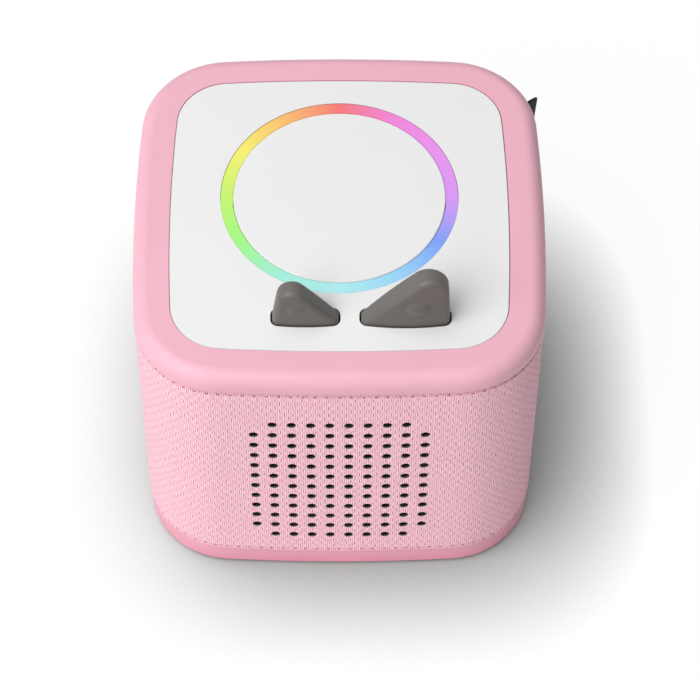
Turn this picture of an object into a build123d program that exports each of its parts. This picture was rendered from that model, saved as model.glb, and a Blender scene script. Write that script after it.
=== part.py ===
"""Audio story player: a fabric-covered cube that small figures stand on, with two ear-shaped keys.

Frame: millimetres, +X right, +Y to the back, +Z up.
The origin is on the floor, below the centre of the body.
"""

import os
from collections import namedtuple
from math import asin, atan2, cos, sin, sqrt

from build123d import *

os.makedirs("parts", exist_ok=True)

# Body: a cube with bulged sides, its outline drawn with four side arcs and four tangent corner arcs.
half_width = 61.0
body_height = 103.5
side_radius = 576.0
corner_radius = 26.4

# Heights of the stack, from the floor up.
base_low = 0.8
floor_top = 3.2
base_top = 8.6
base_lip_top = 12.0
carrier_low = 91.0
carrier_top = 93.0
rim_low = 96.1
spigot_top = 99.4
ledge_low = 99.6
plate_low = 101.3

# Insets of the shells, from the body's outline.
cover_inset = 0.2
shell_inset = 1.5
shell_wall = 2.5
base_inset = 0.6
base_wall = 2.4
lip_inset = 4.1
lip_wall = 1.6
spigot_inset = 2.6
rim_wall = 2.5
pocket_inset = 10.7
plate_inset = 10.8
ledge_inset = 14.0
carrier_inset = 4.6
rib_gap = 0.3
rib_wall = 1.2
rib_depth = 2.3

# Rounded edges.
rim_top_round = 4.5
rim_low_round = 1.2
base_round = 1.6
foot_round = 0.5
plate_edge = 0.25

# Screws and their bosses, one set in each corner.
corner_boss = 92.8
boss_radius = 4.0
shell_boss_radius = 4.6
screw_radius = 1.45
screw_hole = 1.7
pilot_hole = 1.5
head_radius = 2.8
head_height = 2.0
head_round = 0.6
counterbore_radius = 3.3
counterbore_top = 4.4
boss_length = 22.0
base_screw_length = 16.0
deck_screw_length = 12.0
deck_head_radius = 2.6

# Feet.
foot_pitch = 72.0
foot_radius = 6.0
foot_recess = 1.0

# Grille in the front: a rounded field of holes, one column for each slot of the shell behind it.
grille_pitch = 5.6
grille_radius = 1.225
grille_low = 18.9
grille_columns = [(1, 10), (0, 12), (0, 12), (0, 12), (0, 12)]
slot_width = 3.0
grille_rows = 12
wall_cut_start = 7.0
wall_cut = 8.0
speaker_z = grille_low + grille_pitch * (grille_rows - 1) / 2

# Light ring and the disc that a figure stands on.
ring_y = 5.8
ring_radius = 35.25
ring_inner = 31.8
ring_gap = 0.2
ring_recess = 0.1
ring_low = 99.2
flange_radius = 37.6
light_wall = 1.0
light_groove = 1.9
light_groove_depth = 0.8
disc_radius = 31.6
disc_foot_inset = 0.5
disc_foot_wall = 1.8
wall_radius = 38.0
wall_inner = 36.4
led_low = 96.4
led_board_top = 98.0
led_count = 12
led_size = (2.4, 3.2, 0.8)

# Figure reader: a flat antenna and a magnet below the disc.
antenna_radius = 27.0
antenna_hole = 7.6
antenna_depth = 1.0
figure_magnet_radius = 5.0
figure_magnet_depth = 3.0
cup_radius = 7.0
cup_hole = 5.2
cup_depth = 2.4

# Deck below the top: round windows and stiffening ribs between them.
window_circle = 18.0
window_radius = 6.0
deck_rib_circle = 20.0
deck_rib = (34.0, 1.6, 4.0)

# Ear keys: both rock on one shaft below the top plate, and a heel behind it presses a switch.
ear_y = -38.1
ear_low = 100.8
ear_bulge = 80.0
ear_end = 2.85
ear_gap = 0.5
ear_edge = 1.7
ear_slot_round = 1.9
bump_root = 1.0
hinge_z = 97.5
hub_radius = 3.2
pin_radius = 1.0
running_gap = 0.05
blade = 2.6
blade_inset = 4.0
heel_reach = 6.0
heel_width = 3.2
heel_thick = 1.6
hub_side_gap = 0.4
shaft_end = 0.3
ear_board_depth = 1.2
ear_board_gap = 0.25
nub_radius = 1.0
press_gap = 0.03
switch_top = 96.0
plunger_top = 96.9
plunger_radius = 0.8
plunger_length = 1.8
switch_bore_depth = 1.4

# left, right: where the sides meet the top plate. tip: where the two sides would meet unrounded.
# swell: how far each side bows outwards. All heights are above the top plate.
sizes = "left right tip_x tip_z tip_radius swell heel_x bump_x bump_z bump_radius bump_height"
Ear = namedtuple("Ear", sizes)
large_ear = Ear(6.25, 31.9, 29.9, 27.8, 5.45, 0.37, 20.0, 22.5, 8.2, 3.6, 0.9)
small_ear = Ear(-19.5, -0.2, -16.2, 19.9, 4.2, 0.22, -15.0, -12.7, 7.4, 2.75, 0.5)

# Ports in the back, low down.
port_z = 23.2
port_width = 44.0
port_height = 16.0
port_corner = 4.0
port_gap = 0.2
port_face = 0.1
jack_x = -14.0
usb_x = 14.0
port_nose = 60.4
flange_y = 54.9
bezel_y = 56.9
bezel_flange = 2.0
bezel_flange_depth = 1.2
jack_y = 46.5
jack_body = (7.0, 13.0)
jack_bore = 1.8
jack_bore_depth = 14.0
jack_nose = 3.0
jack_gap = 0.15
usb_back = 51.0
usb_floor = 52.2
usb_size = (9.0, 3.3)
usb_wall = 0.3
usb_tongue = (6.6, 0.8)
usb_recess = 1.0
usb_opening = (10.4, 4.6)
usb_foot = (8.0, 6.0)
usb_foot_y = 50.0
usb_foot_sink = 0.15

# Power button in the back and the switch that it presses.
button_radius = 4.2
button_travel = 0.5
button_back = 57.4
button_front = 60.5
button_edge = 0.5
button_gap = 0.25
button_stem = 1.6
switch_face = 53.6
power_switch_size = (6.0, 5.0)
power_switch_bore = 2.2
power_plunger_face = 55.4
power_plunger_radius = 1.5
power_plunger_length = 3.4

# Main board and battery.
board_low = 18.6
board_top = 20.2
board_front = 5.0
board_back = 52.0
board_width = 70.0
board_corner = 2.0
board_hole = 1.2
board_screw = 0.9
board_screw_length = 8.0
board_screw_head = 2.0
board_screw_head_depth = 1.4
post_pitch_x = 62.0
post_pitch_y = 39.0
board_y = (board_front + board_back) / 2
post_radius = 2.8
post_pilot = 0.95
post_pilot_depth = 10.0
battery_size = (54.0, 38.0, 11.0)
battery_corner = 3.0
battery_round = 1.5
fence_size = (55.0, 39.0)
fence_wall = 1.5
fence_height = 5.0

# Speaker, from front to back along Y.
baffle_y = -53.0
gasket_back = -51.8
basket_flange_back = -50.6
basket_radius = 28.5
basket_throat = 14.0
basket_hole = 9.5
basket_rim = 5.0
basket_floor = 1.2
basket_flange = 3.6
basket_flange_cut = 2.0
basket_window = (7.0, 15.0)
basket_window_circle = 19.0
basket_window_back = -38.8
basket_window_depth = 9.0
pole_plate_radius = 15.0
magnet_radius = 16.0
magnet_hole = 9.0
magnet_edge = 0.4
yoke_radius = 14.5
flange_width = 4.0
basket_wall = 0.6
baffle_depth = 4.2
baffle_pilot = 1.05
baffle_pilot_depth = 3.0
speaker_screw_circle = 26.5
speaker_screw_hole = 1.3
speaker_screw = 1.0
speaker_screw_length = 5.0
speaker_screw_head = 1.5
speaker_screw_head_depth = 1.4
cloth_back = -55.6
cloth_depth = 0.4
basket_back = -35.8
top_plate_back = -33.8
magnet_back = -27.8
yoke_back = -25.3
coil_radius = 7.0
coil_gap = 0.7
coil_wall = 0.4

# Leads inside the body.
lead_radius = 1.0

FRONT = Plane.XZ
BACK = Plane(origin=(0, 0, 0), x_dir=(-1, 0, 0), z_dir=(0, 1, 0))


def squircle(inset=0.0):
    """The body's outline moved inwards: eight arcs, each tangent to the next."""
    reach = side_radius - half_width
    corner = (sqrt(2 * (side_radius - corner_radius) ** 2 - reach**2) - reach) / 2
    turn = atan2(corner, corner + reach)
    end = Vector(sin(turn), cos(turn)) * (side_radius - inset) - Vector(0, reach)
    start = Vector(-end.X, end.Y)
    crown = Vector(0, half_width - inset)
    diagonal = Vector(1, 1) * (corner + (corner_radius - inset) / sqrt(2))
    with BuildSketch() as face:
        with BuildLine():
            for quarter in range(4):
                side = [point.rotate(Axis.Z, 90 * quarter) for point in (start, crown, end)]
                bend = diagonal.rotate(Axis.Z, 90 * quarter)
                following = start.rotate(Axis.Z, 90 * quarter - 90)
                ThreePointArc(*side)
                ThreePointArc(side[2], bend, following)
        make_face()
    return face.sketch


def band(outer, inner):
    """A wall between two insets of the body's outline."""
    with BuildSketch() as face:
        add(squircle(outer))
        add(squircle(inner), mode=Mode.SUBTRACT)
    return face.sketch


def ear_crown(ear):
    """Half the thickness of an ear key at its middle."""
    half = (ear.right - ear.left) / 2
    return ear_end + ear_bulge - sqrt(ear_bulge**2 - (half - ear_end) ** 2)


def ear_section(ear, overhang=0.0):
    """An ear key from above: bulged front and back, cut off square past its ends by an overhang."""
    middle = (ear.right + ear.left) / 2
    reach = (ear.right - ear.left) / 2 + overhang
    crown = ear_crown(ear)
    end = crown - ear_bulge + sqrt(ear_bulge**2 - reach**2)
    with BuildSketch() as face:
        with BuildLine():
            for turn in (1, -1):
                ThreePointArc(
                    (middle - turn * reach, ear_y - turn * end),
                    (middle, ear_y - turn * crown),
                    (middle + turn * reach, ear_y - turn * end),
                )
                x = middle + turn * reach
                Line((x, ear_y - turn * end), (x, ear_y + turn * end))
        make_face()
    return face.sketch


def ear_slot(ear):
    """The slot in the top plate, an even gap round an ear key."""
    with BuildSketch() as face:
        add(ear_section(ear))
        fillet(face.vertices(), ear_slot_round)
        offset(amount=ear_gap)
    return face.sketch


def ear_front(ear, low):
    """An ear key from the front, from the height low up to its rounded tip."""
    tip = Vector(ear.tip_x, body_height + ear.tip_z)
    left = Vector(ear.left, body_height)
    right = Vector(ear.right, body_height)
    with BuildSketch() as face:
        with BuildLine():
            for foot, turn in ((left, 1), (right, -1)):
                run = tip - foot
                bow = Vector(-run.Y, run.X).normalized() * (ear.swell * turn)
                ThreePointArc(foot, (foot + tip) / 2 + bow, tip)
            Polyline(left, (ear.left, low), (ear.right, low), right)
        make_face()
        fillet(face.vertices().sort_by(Axis.Y)[-1], ear.tip_radius)
    return face.sketch


def blade_front(ear, low):
    """The straight-sided blade inside an ear key from the front, from the height low up."""
    with BuildSketch() as face:
        with BuildLine():
            Polyline(
                (ear.left, low - blade_inset),
                (ear.left, body_height),
                (ear.tip_x, body_height + ear.tip_z),
                (ear.right, body_height),
                (ear.right, low - blade_inset),
                close=True,
            )
        make_face()
        fillet(face.vertices().sort_by(Axis.Y)[-1], ear.tip_radius)
        offset(amount=-blade_inset)
    return face.sketch


def ring(outer, inner):
    """A flat ring."""
    with BuildSketch() as face:
        Circle(outer)
        Circle(inner, mode=Mode.SUBTRACT)
    return face.sketch


def speaker_plane(y):
    """A plane across the speaker's axis, facing the front."""
    return Plane(origin=(0, y, speaker_z), x_dir=(1, 0, 0), z_dir=(0, -1, 0))


def speaker_holes(radius):
    """The four round holes or shanks on the speaker's screw circle."""
    with BuildSketch() as face:
        with PolarLocations(speaker_screw_circle, 4, start_angle=45):
            Circle(radius)
    return face.sketch


def save(name, builder):
    """Label a finished piece and write it."""
    builder.part.label = name
    export_step(builder.part, f"parts/{name}.step")


# ---------------------------------------------------------------- feet and base

with BuildPart() as rubber_feet:
    with BuildSketch():
        with GridLocations(foot_pitch, foot_pitch, 2, 2):
            Circle(foot_radius)
    extrude(amount=base_low + foot_recess)
    fillet(rubber_feet.faces().group_by(Axis.Z)[0].edges(), foot_round)
save("rubber_feet", rubber_feet)

with BuildPart() as base_tray:
    with BuildSketch(Plane.XY.offset(base_low)):
        add(squircle(base_inset))
    extrude(amount=base_top - base_low)
    fillet(base_tray.faces().sort_by(Axis.Z)[0].edges(), base_round)
    with BuildSketch(Plane.XY.offset(floor_top)):
        add(squircle(base_inset + base_wall))
    extrude(amount=base_top - floor_top, mode=Mode.SUBTRACT)
    # The lip that the shell slides over, the corner bosses and the battery's fence.
    with BuildSketch(Plane.XY.offset(floor_top)):
        add(band(lip_inset, lip_inset + lip_wall))
        with GridLocations(corner_boss, corner_boss, 2, 2):
            Circle(boss_radius)
    extrude(amount=base_lip_top - floor_top)
    with BuildSketch(Plane.XY.offset(floor_top)):
        with Locations((0, board_y)):
            Rectangle(fence_size[0] + 2 * fence_wall, fence_size[1] + 2 * fence_wall)
            Rectangle(*fence_size, mode=Mode.SUBTRACT)
    extrude(amount=fence_height)
    # The posts that carry the main board.
    with BuildSketch(Plane.XY.offset(floor_top)):
        with Locations((0, board_y)):
            with GridLocations(post_pitch_x, post_pitch_y, 2, 2):
                Circle(post_radius)
    extrude(amount=board_low - floor_top)
    with BuildSketch(Plane.XY.offset(board_low)):
        with Locations((0, board_y)):
            with GridLocations(post_pitch_x, post_pitch_y, 2, 2):
                Circle(post_pilot)
    extrude(amount=-post_pilot_depth, mode=Mode.SUBTRACT)
    # Screw holes with room for the heads, and the seats of the feet.
    with BuildSketch(Plane.XY.offset(base_low)):
        with GridLocations(corner_boss, corner_boss, 2, 2):
            Circle(screw_hole)
    extrude(amount=base_lip_top - base_low, mode=Mode.SUBTRACT)
    with BuildSketch(Plane.XY.offset(base_low)):
        with GridLocations(corner_boss, corner_boss, 2, 2):
            Circle(counterbore_radius)
    extrude(amount=counterbore_top - base_low, mode=Mode.SUBTRACT)
    with BuildSketch(Plane.XY.offset(base_low)):
        with GridLocations(foot_pitch, foot_pitch, 2, 2):
            Circle(foot_radius)
    extrude(amount=foot_recess, mode=Mode.SUBTRACT)
save("base_tray", base_tray)

with BuildPart() as base_screws:
    with BuildSketch(Plane.XY.offset(counterbore_top)):
        with GridLocations(corner_boss, corner_boss, 2, 2):
            Circle(screw_radius)
    extrude(amount=base_screw_length)
    with BuildSketch(Plane.XY.offset(counterbore_top)):
        with GridLocations(corner_boss, corner_boss, 2, 2):
            Circle(head_radius)
    extrude(amount=-head_height)
    fillet(base_screws.faces().group_by(Axis.Z)[0].edges(), head_round)
save("base_screws", base_screws)

# ---------------------------------------------------------------- shell, cover and tag


def grille_points():
    """Middles of the grille's holes as x, z: the columns are mirrored about the middle plane."""
    points = []
    for index, (skipped, count) in enumerate(grille_columns):
        x = grille_pitch * (len(grille_columns) - index - 0.5)
        for row in range(count):
            z = grille_low + grille_pitch * (row + skipped)
            points.append((x, z))
            points.append((-x, z))
    return points


with BuildPart() as mid_shell:
    with BuildSketch(Plane.XY.offset(base_top)):
        add(band(shell_inset, shell_inset + shell_wall))
    extrude(amount=rim_low - base_top)
    with BuildSketch(Plane.XY.offset(rim_low)):
        add(band(spigot_inset, shell_inset + shell_wall))
    extrude(amount=spigot_top - rim_low)
    # One upright slot behind each column of holes.
    with BuildSketch(FRONT.offset(half_width - wall_cut_start)):
        with Locations((0, speaker_z)):
            with GridLocations(grille_pitch, 0, 2 * len(grille_columns), 1):
                SlotOverall(grille_pitch * (grille_rows - 1) + slot_width, slot_width, rotation=90)
    extrude(amount=wall_cut, mode=Mode.SUBTRACT)
    # The baffle that the speaker is screwed to.
    with BuildSketch(speaker_plane(baffle_y)):
        add(ring(basket_radius + 1, basket_radius - flange_width))
    extrude(amount=baffle_depth)
    with BuildSketch(speaker_plane(baffle_y)):
        add(speaker_holes(baffle_pilot))
    extrude(amount=baffle_pilot_depth, mode=Mode.SUBTRACT)
    # Cut-out for the ports.
    with BuildSketch(BACK.offset(half_width - wall_cut_start)):
        with Locations((0, port_z)):
            RectangleRounded(port_width + 2 * port_gap, port_height + 2 * port_gap, port_corner)
    extrude(amount=wall_cut, mode=Mode.SUBTRACT)
    # Bosses for the screws of the base and of the deck.
    with BuildSketch(Plane.XY.offset(base_lip_top + 0.2)):
        with GridLocations(corner_boss, corner_boss, 2, 2):
            Circle(shell_boss_radius)
            Circle(pilot_hole, mode=Mode.SUBTRACT)
    extrude(amount=boss_length)
    with BuildSketch(Plane.XY.offset(carrier_low)):
        with GridLocations(corner_boss, corner_boss, 2, 2):
            Circle(shell_boss_radius)
            Circle(pilot_hole, mode=Mode.SUBTRACT)
    extrude(amount=-boss_length)
save("mid_shell", mid_shell)

with BuildPart() as fabric_cover:
    with BuildSketch(Plane.XY.offset(base_top)):
        add(band(cover_inset, shell_inset - 0.1))
    extrude(amount=rim_low - base_top)
    with BuildSketch(FRONT.offset(half_width - wall_cut_start)):
        with Locations(grille_points()):
            Circle(grille_radius)
    extrude(amount=wall_cut, mode=Mode.SUBTRACT)
    with BuildSketch(BACK.offset(half_width - wall_cut_start)):
        with Locations((0, port_z)):
            RectangleRounded(port_width + 2 * port_gap, port_height + 2 * port_gap, port_corner)
    extrude(amount=wall_cut, mode=Mode.SUBTRACT)
save("fabric_cover", fabric_cover)

# The tag is a folded ribbon sewn into the seam of the cover, at the right back corner.
tag_angle = 33.3
tag_corner = 33.57
tag_near = 26.25
tag_far = 32.8
tag_top = 93.5
tag_height = 15.0
tag_slant = 0.8
tag_thickness = 1.0
tag_round = 0.45
tag_plane = Plane(
    origin=(tag_corner, tag_corner, 0),
    x_dir=Vector(1, 0).rotate(Axis.Z, tag_angle),
    z_dir=Vector(0, -1).rotate(Axis.Z, tag_angle),
)

with BuildPart() as side_tag:
    with BuildSketch(tag_plane.offset(-tag_thickness / 2)):
        with BuildLine():
            Polyline(
                (tag_near, tag_top - tag_height),
                (tag_far - tag_slant, tag_top - tag_height),
                (tag_far, tag_top),
                (tag_near, tag_top),
                close=True,
            )
        make_face()
    extrude(amount=tag_thickness)
    fillet(side_tag.edges().filter_by(Axis.Z, tolerance=8).sort_by(Axis.X)[-2:], tag_round)
save("side_tag", side_tag)

# ---------------------------------------------------------------- top: rim, plate, light ring, disc

with BuildPart() as top_rim:
    with BuildSketch(Plane.XY.offset(rim_low)):
        add(squircle())
    extrude(amount=body_height - rim_low)
    fillet(top_rim.faces().sort_by(Axis.Z)[-1].edges(), rim_top_round)
    fillet(top_rim.faces().sort_by(Axis.Z)[0].edges(), rim_low_round)
    with BuildSketch(Plane.XY.offset(rim_low)):
        add(squircle(rim_wall))
    extrude(amount=ledge_low - rim_low, mode=Mode.SUBTRACT)
    with BuildSketch(Plane.XY.offset(ledge_low)):
        add(squircle(ledge_inset))
    extrude(amount=body_height - ledge_low, mode=Mode.SUBTRACT)
    with BuildSketch(Plane.XY.offset(plate_low)):
        add(squircle(pocket_inset))
    extrude(amount=body_height - plate_low, mode=Mode.SUBTRACT)
save("top_rim", top_rim)

with BuildPart() as top_plate:
    with BuildSketch(Plane.XY.offset(plate_low)):
        add(squircle(plate_inset))
    extrude(amount=body_height - plate_low)
    chamfer(top_plate.faces().sort_by(Axis.Z)[-1].edges(), plate_edge)
    # The rib that centres the plate in the rim.
    with BuildSketch(Plane.XY.offset(plate_low)):
        add(band(ledge_inset + rib_gap, ledge_inset + rib_gap + rib_wall))
    extrude(amount=-rib_depth)
    with BuildSketch(Plane.XY.offset(plate_low)):
        with Locations((0, ring_y)):
            Circle(ring_radius + ring_gap)
    extrude(amount=body_height - plate_low, mode=Mode.SUBTRACT)
    # The slots that the ears stand in.
    with BuildSketch(Plane.XY.offset(plate_low)):
        add(ear_slot(large_ear))
        add(ear_slot(small_ear))
    extrude(amount=body_height - plate_low, mode=Mode.SUBTRACT)
save("top_plate", top_plate)

ring_axis = Axis((0, ring_y, 0), (0, 0, 1))

with BuildPart() as light_ring:
    with BuildSketch(Plane.XZ.offset(-ring_y)):
        with BuildLine():
            Polyline(
                (ring_inner, ring_low),
                (ring_inner, body_height - ring_recess),
                (ring_radius, body_height - ring_recess),
                (ring_radius, plate_low),
                (flange_radius, plate_low),
                (flange_radius, ring_low),
                (ring_inner + light_wall + light_groove, ring_low),
                (ring_inner + light_wall + light_groove, ring_low + light_groove_depth),
                (ring_inner + light_wall, ring_low + light_groove_depth),
                (ring_inner + light_wall, ring_low),
                close=True,
            )
        make_face()
    revolve(axis=ring_axis)
save("light_ring", light_ring)

with BuildPart() as stand_disc:
    with BuildSketch(Plane.XY.offset(plate_low)):
        with Locations((0, ring_y)):
            Circle(disc_radius)
    extrude(amount=body_height - plate_low)
    chamfer(stand_disc.faces().sort_by(Axis.Z)[-1].edges(), plate_edge)
    with BuildSketch(Plane.XY.offset(plate_low)):
        with Locations((0, ring_y)):
            add(ring(disc_radius - disc_foot_inset, disc_radius - disc_foot_inset - disc_foot_wall))
    extrude(amount=carrier_top - plate_low)
save("stand_disc", stand_disc)

with BuildPart() as nfc_antenna:
    with BuildSketch(Plane.XY.offset(plate_low)):
        with Locations((0, ring_y)):
            add(ring(antenna_radius, antenna_hole))
    extrude(amount=-antenna_depth)
save("nfc_antenna", nfc_antenna)

with BuildPart() as figure_magnet:
    with BuildSketch(Plane.XY.offset(plate_low)):
        with Locations((0, ring_y)):
            Circle(figure_magnet_radius)
    extrude(amount=-figure_magnet_depth)
    chamfer(figure_magnet.edges().filter_by(GeomType.CIRCLE), 0.3)
save("figure_magnet", figure_magnet)

# ---------------------------------------------------------------- deck under the top

# The lead comes up below the board of the light ring.
deck_hole = (-22.0, 31.7)
lug_half = 3.4
lug_width = 3.0
lug_xs = (-21.6, 3.0, 33.7)

with BuildPart() as deck_carrier:
    with BuildSketch(Plane.XY.offset(carrier_low)):
        add(squircle(carrier_inset))
        with GridLocations(corner_boss, corner_boss, 2, 2):
            Circle(screw_hole, mode=Mode.SUBTRACT)
        with Locations((0, ring_y)):
            with PolarLocations(window_circle, 6):
                Circle(window_radius, mode=Mode.SUBTRACT)
    extrude(amount=carrier_top - carrier_low)
    # Wall round the light ring, the seat of its board, and the cup of the magnet.
    with BuildSketch(Plane.XY.offset(carrier_top)):
        with Locations((0, ring_y)):
            add(ring(wall_radius, wall_inner))
    extrude(amount=ring_low - carrier_top)
    with BuildSketch(Plane.XY.offset(carrier_top)):
        with Locations((0, ring_y)):
            add(ring(wall_inner, ring_inner + 0.2))
    extrude(amount=led_low - carrier_top)
    with BuildSketch(Plane.XY.offset(carrier_top)):
        with Locations((0, ring_y)):
            Circle(cup_radius)
    extrude(amount=plate_low - figure_magnet_depth - carrier_top)
    with BuildSketch(Plane.XY.offset(plate_low - figure_magnet_depth)):
        with Locations((0, ring_y)):
            add(ring(cup_radius, cup_hole))
    extrude(amount=cup_depth)
    # Ribs below the deck.
    with BuildSketch(Plane.XY.offset(carrier_low)):
        with Locations((0, ring_y)):
            with PolarLocations(deck_rib_circle, 6, start_angle=30):
                Rectangle(deck_rib[0], deck_rib[1])
    extrude(amount=-deck_rib[2])
    # The lugs that hold the ears' shaft.
    for lug_x in lug_xs:
        with BuildSketch(Plane.YZ.offset(lug_x - lug_width / 2)):
            with Locations((ear_y, (carrier_top + hinge_z) / 2)):
                Rectangle(2 * lug_half, hinge_z - carrier_top)
            with Locations((ear_y, hinge_z)):
                Circle(lug_half)
        extrude(amount=lug_width)
    with BuildSketch(Plane.YZ.offset(lug_xs[0] - lug_width)):
        with Locations((ear_y, hinge_z)):
            Circle(pin_radius)
    extrude(amount=lug_xs[2] - lug_xs[0] + 2 * lug_width, mode=Mode.SUBTRACT)
    with BuildSketch(Plane.XY.offset(led_low)):
        with Locations(deck_hole):
            Circle(lead_radius + 0.3)
    extrude(amount=carrier_low - 5.0 - led_low, mode=Mode.SUBTRACT)
save("deck_carrier", deck_carrier)

with BuildPart() as deck_screws:
    with BuildSketch(Plane.XY.offset(carrier_top)):
        with GridLocations(corner_boss, corner_boss, 2, 2):
            Circle(screw_radius)
    extrude(amount=-deck_screw_length)
    with BuildSketch(Plane.XY.offset(carrier_top)):
        with GridLocations(corner_boss, corner_boss, 2, 2):
            Circle(deck_head_radius)
    extrude(amount=head_height)
    fillet(deck_screws.faces().group_by(Axis.Z)[-1].edges(), head_round)
save("deck_screws", deck_screws)

with BuildPart() as led_board:
    with BuildSketch(Plane.XY.offset(led_low)):
        with Locations((0, ring_y)):
            add(ring(wall_inner - 0.2, ring_inner + 0.2))
    extrude(amount=led_board_top - led_low)
save("led_board", led_board)

with BuildPart() as ring_leds:
    with BuildSketch(Plane.XY.offset(led_board_top)):
        with Locations((0, ring_y)):
            with PolarLocations((ring_radius + ring_inner) / 2, led_count):
                Rectangle(led_size[0], led_size[1])
    extrude(amount=led_size[2])
save("ring_leds", ring_leds)

# ---------------------------------------------------------------- ears, their shaft and switches


def ear_bump(ear):
    """The raised dot on the front of an ear key: a low dome, rooted in the face behind it."""
    across = ear.bump_x - (ear.left + ear.right) / 2
    depth = sqrt(ear_bulge**2 - across**2)
    out = Vector(across, -depth) / ear_bulge
    centre = Vector(ear.bump_x, ear_y - ear_crown(ear) + ear_bulge - depth, body_height + ear.bump_z)
    face = Plane(origin=centre, x_dir=(0, 0, 1), z_dir=(-out.Y, out.X, 0))
    curve = (ear.bump_radius**2 + ear.bump_height**2) / (2 * ear.bump_height)
    turn = asin(ear.bump_radius / curve) / 2
    shoulder = (curve * sin(turn), ear.bump_height - curve + curve * cos(turn))
    with BuildPart() as bump:
        with BuildSketch(face):
            with BuildLine():
                ThreePointArc((0, ear.bump_height), shoulder, (ear.bump_radius, 0))
                Polyline(
                    (ear.bump_radius, 0),
                    (ear.bump_radius, -bump_root),
                    (0, -bump_root),
                    (0, ear.bump_height),
                )
            make_face()
        revolve(axis=Axis(centre, out))
    return bump.part


def ear_cap(ear):
    """The soft cap of an ear key: its front view cut across its footprint, edges rounded."""
    with BuildPart() as cap:
        with BuildSketch(FRONT.offset(-ear_y - 10)):
            add(ear_front(ear, ear_low))
        extrude(amount=20.0)
        with BuildSketch(Plane.XY.offset(ear_low)):
            add(ear_section(ear, overhang=3.0))
        extrude(amount=40.0, mode=Mode.INTERSECT)
        faces = [face for face in cap.faces().filter_by(GeomType.CYLINDER) if abs(face.normal_at().Y) > 0.9]
        edges = [edge for face in faces for edge in face.edges() if edge.center().Z > ear_low + 0.1]
        fillet(edges, ear_edge)
        add(ear_bump(ear))
        # The pocket that the lever's blade stands in.
        with BuildSketch(FRONT.offset(-ear_y - blade / 2)):
            add(blade_front(ear, ear_low - 1))
        extrude(amount=blade, mode=Mode.SUBTRACT)
    return cap


def ear_lever(ear):
    """The stiff core of an ear key: a hub on the shaft, a blade into the cap, a heel over the switch."""
    nub_y = ear_y + heel_reach
    nub_z = plunger_top + press_gap + nub_radius
    with BuildPart() as lever:
        with BuildSketch(FRONT.offset(-ear_y - blade / 2)):
            add(blade_front(ear, hinge_z))
        extrude(amount=blade)
        with BuildSketch(Plane.YZ.offset(ear.left + hub_side_gap)):
            with Locations((ear_y, hinge_z)):
                Circle(hub_radius)
        extrude(amount=ear.right - ear.left - 2 * hub_side_gap)
        with BuildSketch(Plane.YZ.offset(ear.heel_x - heel_width / 2)):
            with Locations(((ear_y + nub_y) / 2, nub_z + nub_radius / 2)):
                Rectangle(heel_reach + 2 * nub_radius, heel_thick)
            with Locations((nub_y, nub_z)):
                Circle(nub_radius)
        extrude(amount=heel_width)
        with BuildSketch(Plane.YZ.offset(ear.left)):
            with Locations((ear_y, hinge_z)):
                Circle(pin_radius + running_gap)
        extrude(amount=ear.right - ear.left, mode=Mode.SUBTRACT)
    return lever


def switch_plunger(ear):
    """The round plunger of the switch below an ear's heel."""
    with BuildPart() as plunger:
        with BuildSketch(Plane.XY.offset(plunger_top)):
            with Locations((ear.heel_x, ear_y + heel_reach)):
                Circle(plunger_radius)
        extrude(amount=-plunger_length)
    return plunger


ear_large_cap = ear_cap(large_ear)
ear_small_cap = ear_cap(small_ear)
ear_large_lever = ear_lever(large_ear)
ear_small_lever = ear_lever(small_ear)
volume_up_plunger = switch_plunger(large_ear)
volume_down_plunger = switch_plunger(small_ear)
save("ear_large_cap", ear_large_cap)
save("ear_small_cap", ear_small_cap)
save("ear_large_lever", ear_large_lever)
save("ear_small_lever", ear_small_lever)
save("volume_up_plunger", volume_up_plunger)
save("volume_down_plunger", volume_down_plunger)

with BuildPart() as ear_shaft:
    with BuildSketch(Plane.YZ.offset(lug_xs[0] - lug_width / 2 - shaft_end)):
        with Locations((ear_y, hinge_z)):
            Circle(pin_radius)
    extrude(amount=lug_xs[2] - lug_xs[0] + lug_width + 2 * shaft_end)
save("ear_shaft", ear_shaft)

ear_board_top = carrier_top + ear_board_depth
ear_board_pad = (6.0, 3.8)
ear_board_strip = (41.0, 3.4)
ear_board_front = 4.2
switch_size = (4.8, 3.4)

with BuildPart() as ear_board:
    with BuildSketch(Plane.XY.offset(carrier_top)):
        with Locations(((large_ear.heel_x + small_ear.heel_x) / 2, ear_y + ear_board_front)):
            Rectangle(*ear_board_strip)
        for ear in (large_ear, small_ear):
            with Locations((ear.heel_x, ear_y + heel_reach)):
                Rectangle(*ear_board_pad)
        for lug_x in lug_xs:
            with Locations((lug_x, ear_y)):
                Rectangle(
                    lug_width + 2 * ear_board_gap,
                    2 * (lug_half + ear_board_gap),
                    mode=Mode.SUBTRACT,
                )
    extrude(amount=ear_board_top - carrier_top)
save("ear_board", ear_board)

with BuildPart() as ear_switches:
    with BuildSketch(Plane.XY.offset(ear_board_top)):
        for ear in (large_ear, small_ear):
            with Locations((ear.heel_x, ear_y + heel_reach)):
                Rectangle(*switch_size)
    extrude(amount=switch_top - ear_board_top)
    with BuildSketch(Plane.XY.offset(switch_top)):
        for ear in (large_ear, small_ear):
            with Locations((ear.heel_x, ear_y + heel_reach)):
                Circle(plunger_radius + running_gap)
    extrude(amount=-switch_bore_depth, mode=Mode.SUBTRACT)
save("ear_switches", ear_switches)

# ---------------------------------------------------------------- speaker

speaker_axis = Axis((0, 0, speaker_z), (0, 1, 0))


def turned(*points):
    """A face from points given as distance along Y and radius from the speaker's axis."""
    with BuildSketch(Plane.YZ) as face:
        with BuildLine():
            Polyline(*[(y, speaker_z + radius) for y, radius in points], close=True)
        make_face()
    return face.sketch


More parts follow.
